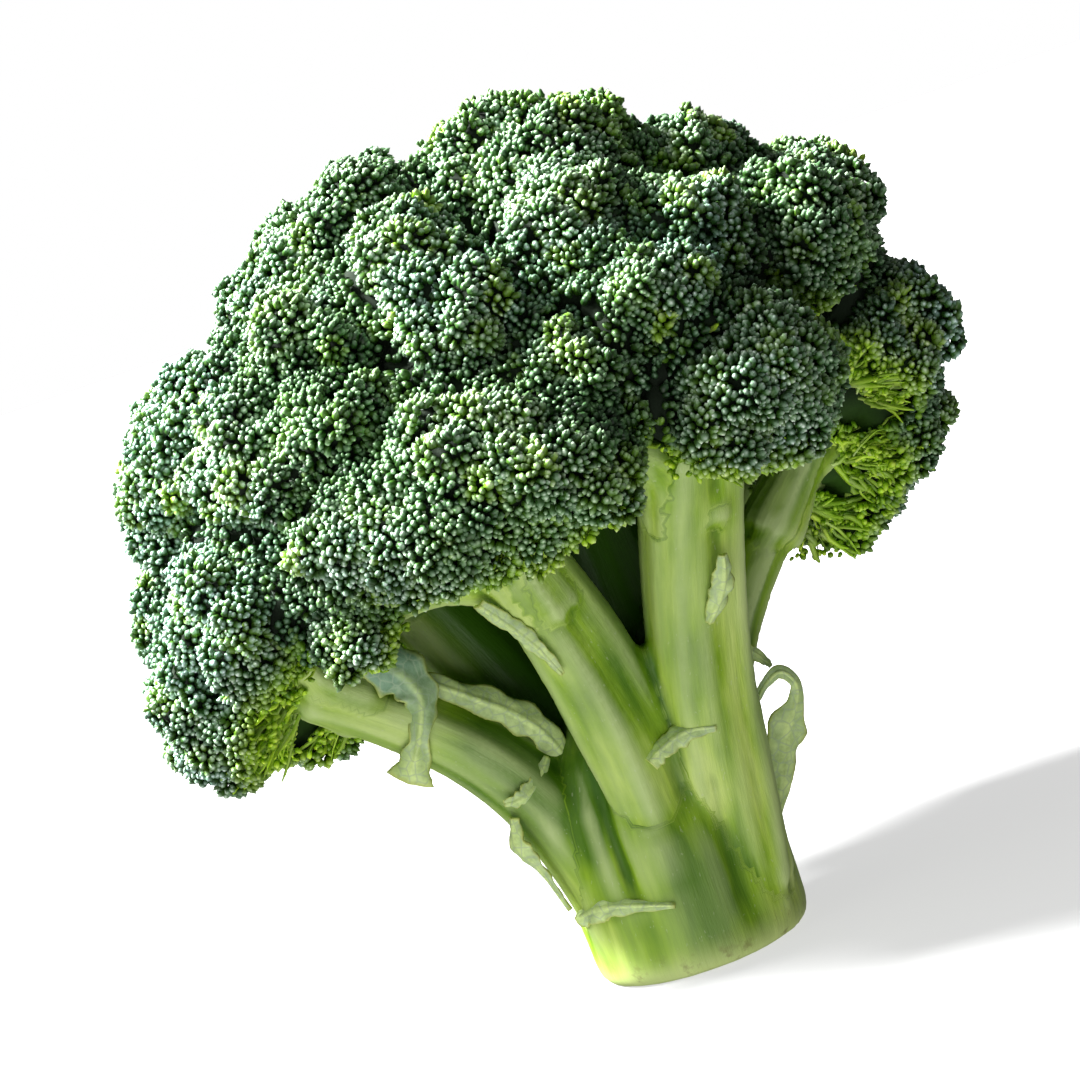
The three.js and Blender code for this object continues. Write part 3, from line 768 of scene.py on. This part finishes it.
        values["cleft"].append(np.zeros(number_of * tubes.shape[1]))

    points, triangles = join(shapes)
    me = mesh_of(name + "_buds", points, triangles)
    for key, parts in values.items():
        write(me, key, np.concatenate(parts))
    write(me, "dull", np.arange(len(points)) < bare)
    lay_out(me, skin_map, [np.broadcast_to(bud_map, (len(up), *bud_map.shape)),
                           np.broadcast_to(strand_map, (number_of, *strand_map.shape))])
    place(name + "_buds", me, buds_material, "flower_buds", name)

# ---------------------------------------------------------------- leaves
# Small leaves and bracts grow at the forks, and lower ones were torn off and left a ragged base.
# Each is a thin blade along a curve, cupped and ruffled, pale at its root and at its torn edges.
BLADE_THICKNESS = 0.55
CELL_SCALE = 420.0  # of the mottling and the net of veins
# Each: points of the midrib, half widths, cup, ruffle, root and tip colour (0 pale to 1 blue-green),
# and the way its face looks.
LEAVES = {
    "leaf_right": ([(21, -4.2, 20), (23.6, -4.8, 26), (25.6, -5.2, 31), (28.2, -5.6, 36), (31.4, -6, 40.5),
                    (32.4, -6.5, 44), (30.3, -7.3, 47.2), (27, -7.6, 46), (24.4, -7, 43.4)],
                   [0.9, 2.1, 3.6, 3.7, 1.7, 1.1, 1.2, 1.0, 0.5], 0.25, 0.25, 0.0, 0.5, (0.35, -1, 0)),
    "leaf_left": ([(-42.5, -13.6, 51.5), (-39.3, -15.4, 56.5), (-36.5, -16.4, 62), (-35, -16.6, 67),
                   (-37, -17.2, 72), (-41.5, -18.4, 76.5)],
                  [4.6, 2.3, 2.2, 3.4, 4.8, 3.6], 0.35, 0.9, 0.0, 1.25, (0, -1, 0.15)),
    "leaf_inner": ([(-12.5, -7, 42.5), (-15.6, -9, 51), (-19.5, -10, 56.6), (-26, -11, 62.4), (-34, -12, 69)],
                   [1.6, 2.6, 3.0, 2.5, 1.5], 0.3, 0.2, 0.0, 0.25, (0.1, -1, 0.2)),
    "collar_left": ([(-27, -14.4, 41.9), (-23.4, -14.5, 41.9), (-20, -13, 43.4), (-16.6, -10.4, 47)],
                    [0.7, 1.7, 1.7, 0.6], 0.25, 0.35, 0.1, 0.35, (-0.2, -1, -0.5)),
    "sheath_left": ([(-22, -11.2, 18), (-24.6, -12.2, 27), (-27.3, -12.6, 33), (-26.4, -12.8, 38.6)],
                    [0.5, 1.1, 2.5, 1.3], 0.3, 0.5, 0.5, 0.0, (-0.9, -0.7, 0)),
    "scar_low": ([(-21.4, -9.8, 15.6), (-17, -14.8, 17), (-12, -18.6, 16.9), (-3, -21.9, 14.6)],
                 [1.5, 2.3, 1.4, 0.4], 0.4, 0.8, 0.15, 0.3, (-0.3, -1, 0.6)),
    "scar_front": ([(1.2, -24.6, 42.2), (4.4, -24.2, 44), (9.6, -23.8, 45.4), (15, -24, 44.4)],
                   [1.6, 1.8, 1.9, 0.6], 0.45, 0.6, 0.1, 0.35, (0, -1, 0.5)),
    "bract_left": ([(-8.6, -34.8, 65), (-11, -38, 71), (-14.5, -40.4, 77), (-18.5, -43.5, 83)],
                   [0.5, 1.4, 1.7, 1.2], 0.4, 0.3, 0.0, 0.3, (-0.5, -1, 0)),
    "bract_front": ([(19.6, -32.8, 64.6), (22.6, -35.2, 68.4), (24.6, -37.6, 72.4), (25.6, -39.6, 76.6)],
                    [0.7, 1.9, 1.8, 0.7], 0.5, 0.5, 0.1, 0.3, (0.3, -1, 0)),
    "bract_right": ([(22.4, -6.6, 55.6), (25.2, -5.4, 53.6), (27.6, -4.6, 50.8), (29.2, -4.2, 48.2)],
                    [0.5, 1.0, 1.0, 0.4], 0.3, 0.4, 0.1, 0.2, (0, -1, 0.4)),
}


def through(points, steps):
    """A smooth path through points: on each span the Catmull-Rom cubic of its two points and their
    neighbours."""
    p = np.asarray(points, float)
    p = p[:, None] if p.ndim == 1 else p
    p = np.vstack([2 * p[0] - p[1], p, 2 * p[-1] - p[-2]])
    u = np.linspace(0, len(p) - 3 - 1e-6, steps)
    k, t = u.astype(int), (u % 1)[:, None]
    a, b, c, d = (p[k + n] for n in range(4))
    return 0.5 * (2 * b + (c - a) * t + (2 * a - 5 * b + 4 * c - d) * t**2 + (3 * b - a - 3 * c + d) * t**3)


def blade(points, halves, cup, ruffle, face, rng, rows=64, columns=19):
    """A blade: (s, w) goes to the midrib's point at s, plus w * half width(s) across, where small waves tear
    the rim. Along its normal it is moved by a rib at w = 0, minus cup * w^2 * half width, plus
    ruffle/2 * |w|^1.5 * a sum of three waves."""
    rib = through(points, rows)
    half = np.maximum(through(halves, rows)[:, 0], 0.25)
    ahead = unit(np.gradient(rib, axis=0))
    side = unit(np.cross(ahead, unit(np.asarray(face, float))))
    normal = np.cross(side, ahead)
    s, w = np.meshgrid(np.linspace(0, 1, rows), np.linspace(-1, 1, columns), indexing="ij")
    waves = sum(np.sin(s * f + w * g + h) for f, g, h in zip(
        rng.uniform(8, 24, 3), rng.uniform(-3, 3, 3), rng.uniform(0, 6, 3)))
    torn = 1 + 0.07 * np.abs(w) * sum(np.sin(s * f + g * w) for f, g in zip(
        rng.uniform(9, 48, 4), rng.uniform(-6, 6, 4))) + 0.02 * np.abs(w) * rng.normal(0, 1, s.shape)
    lift = (0.35 * np.exp(-((w / 0.14) ** 2)) - cup * w**2 * half[:, None]
            + ruffle * 0.5 * np.abs(w) ** 1.5 * waves * np.minimum(half[:, None] / 2.5, 1))
    grid = (rib[:, None] + side[:, None] * (w * half[:, None] * torn)[..., None]
            + normal[:, None] * lift[..., None])
    i, j = np.meshgrid(np.arange(rows - 1), np.arange(columns - 1), indexing="ij")
    a = i * columns + j
    quads = np.stack([a, a + 1, a + columns + 1, a, a + columns + 1, a + columns], -1).reshape(-1, 3)
    return grid.reshape(-1, 3), quads, s.ravel(), w.ravel()


leaf_finish, tree, shader = finish_for("leaf", 0.45, Specular_IOR_Level=0.4)
blue = told(tree, "blue")
edge = told(tree, "edge")
spot = wired(tree, "TexCoord").outputs["Object"]
mottle = wired(tree, "TexNoise", Vector=spot, Scale=CELL_SCALE, Detail=4.0, Roughness=0.6).outputs["Fac"]
veins = wired(tree, "TexVoronoi", {"feature": "DISTANCE_TO_EDGE"}, Vector=spot, Scale=CELL_SCALE)
veins = veins.outputs["Distance"]
tone = blend(tree, blue, colour(0.68, 0.86, 0.32), colour(0.22, 0.38, 0.24))
mottled = ramp(tree, mottle, (0.32, (0.74, 0.78, 0.70)), (0.5, (1, 1, 1)), (0.7, (1.25, 1.2, 1.2)))
tone = blend(tree, 1.0, tone, mottled, "MULTIPLY")
net = ramp(tree, veins, (0.0, (0.55, 0.55, 0.55)), (0.10, (0, 0, 0)))
tone = blend(tree, net, tone, colour(0.42, 0.55, 0.36))
rim = ramp(tree, edge, (0.80, (0, 0, 0)), (1.0, (0.8, 0.8, 0.8)))
tone = blend(tree, rim, tone, colour(0.55, 0.62, 0.12))
tree.links.new(tone, shader.inputs["Base Color"])
bump = wired(tree, "Bump", Strength=0.5, Distance=0.0005, Height=mottle)
tree.links.new(bump.outputs[0], shader.inputs["Normal"])

for number, (name, (points, halves, cup, ruffle, root_blue, tip_blue, face)) in enumerate(LEAVES.items()):
    grid, triangles, s, w = blade(points, halves, cup, ruffle, face, np.random.default_rng(500 + number))
    me = mesh_of(name + "_blade", grid, triangles)
    write(me, "blue", root_blue + (tip_blue - root_blue) * s - 0.5 * np.exp(-((w / 0.16) ** 2)))
    write(me, "edge", np.maximum(np.abs(w), np.abs(2 * s - 1) ** 3))
    piece = place(name + "_blade", me, leaf_finish, "leaf", name)
    thicken = piece.modifiers.new("thickness", "SOLIDIFY")
    thicken.thickness, thicken.offset = BLADE_THICKNESS * MM, 0

# ---------------------------------------------------------------- floor, light and camera
# A pale table, one broad light from the upper left and a bright room, and the camera a little above
# the level of the crown, tipped so that the head leans.
CAMERA_AIM = np.array([-4.4, 0, 85.0])
CAMERA_RISE = 7.0  # degrees above level
CAMERA_TIP = 19.2  # degrees turned about its own sight line
CAMERA_AWAY = 640.0
VIEW_WIDTH = 205.2  # what the picture spans at the object
SENSOR = 36.0
ROOM_LIGHT = 0.14
TABLE_SIZE = 4000.0
TABLE_GAP = 0.05  # keeps the table just clear of the cut
DOME_SIZE = 1.5 * TABLE_SIZE

corners = np.array([(-1, -1, 0), (1, -1, 0), (1, 1, 0), (-1, 1, 0)], float) * TABLE_SIZE - [0, 0, TABLE_GAP]
table = bpy.data.objects.new("table", mesh_of("table", corners, np.array([[0, 1, 2], [0, 2, 3]])))
polar = np.linspace(0.05, np.pi - 0.05, 40)
dome_path = np.stack([0 * polar, 0 * polar, -DOME_SIZE * np.cos(polar)], -1)
dome_points, dome_triangles = round_limb(dome_path, DOME_SIZE * np.sin(polar), sides=64)
backdrop = bpy.data.objects.new("backdrop", mesh_of("backdrop", dome_points, dome_triangles))
for piece, base, glow in ((table, 0.25, 0.62), (backdrop, 0.0, 1.0)):
    paper, tree, shader = finish_for(
        piece.name + "_paper", 0.9, Emission_Strength=glow, Specular_IOR_Level=0.0)
    shader.inputs["Base Color"].default_value = colour(base, base, base)
    shader.inputs["Emission Color"].default_value = colour(1, 1, 1)
    piece.data.materials.append(paper)
    bpy.context.scene.collection.objects.link(piece)
    piece.visible_diffuse = piece.visible_glossy = piece.visible_shadow = False
    piece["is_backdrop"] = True

room = bpy.data.worlds.new("room")
bpy.context.scene.world = room
room.use_nodes = True
room.node_tree.nodes["Background"].inputs["Color"].default_value = colour(1, 1, 1)
room.node_tree.nodes["Background"].inputs["Strength"].default_value = ROOM_LIGHT
bpy.context.scene.view_settings.view_transform = "Standard"


def lamp(name, toward, strength, angle):
    """A broad far light that shines along a direction."""
    data = bpy.data.lights.new(name, "SUN")
    data.energy, data.angle = strength, np.radians(angle)
    light = bpy.data.objects.new(name, data)
    bpy.context.scene.collection.objects.link(light)
    light.rotation_mode = "QUATERNION"
    light.rotation_quaternion = Vector(toward).to_track_quat("-Z", "Y")


lamp("window", (0.68, -0.12, -0.72), 26.0, 16)
lamp("second_window", (0.62, 0.20, -0.72), 1.4, 70)
lamp("low_window", (0.28, 0.80, 0.52), 1.25, 70)
lamp("light_off_the_table", (0.30, 0.25, 0.90), 0.8, 90)

rise, tip = np.radians(CAMERA_RISE), np.radians(CAMERA_TIP)
back = np.array([0, -np.cos(rise), np.sin(rise)])
right0, up0 = np.array([1.0, 0, 0]), np.array([0, np.sin(rise), np.cos(rise)])
right = right0 * np.cos(tip) - up0 * np.sin(tip)
up = up0 * np.cos(tip) + right0 * np.sin(tip)
lens = bpy.data.cameras.new("camera")
lens.sensor_width, lens.lens = SENSOR, SENSOR * CAMERA_AWAY / VIEW_WIDTH
lens.clip_start, lens.clip_end = 0.01, 20
camera = bpy.data.objects.new("camera", lens)
bpy.context.scene.collection.objects.link(camera)
bpy.context.scene.camera = camera
stand = (CAMERA_AIM + back * CAMERA_AWAY) * MM
turned = np.stack([right, up, back], -1)
camera.matrix_world = Matrix(
    [[*row, at] for row, at in zip(turned.tolist(), stand.tolist())] + [[0, 0, 0, 1]])

low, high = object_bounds()
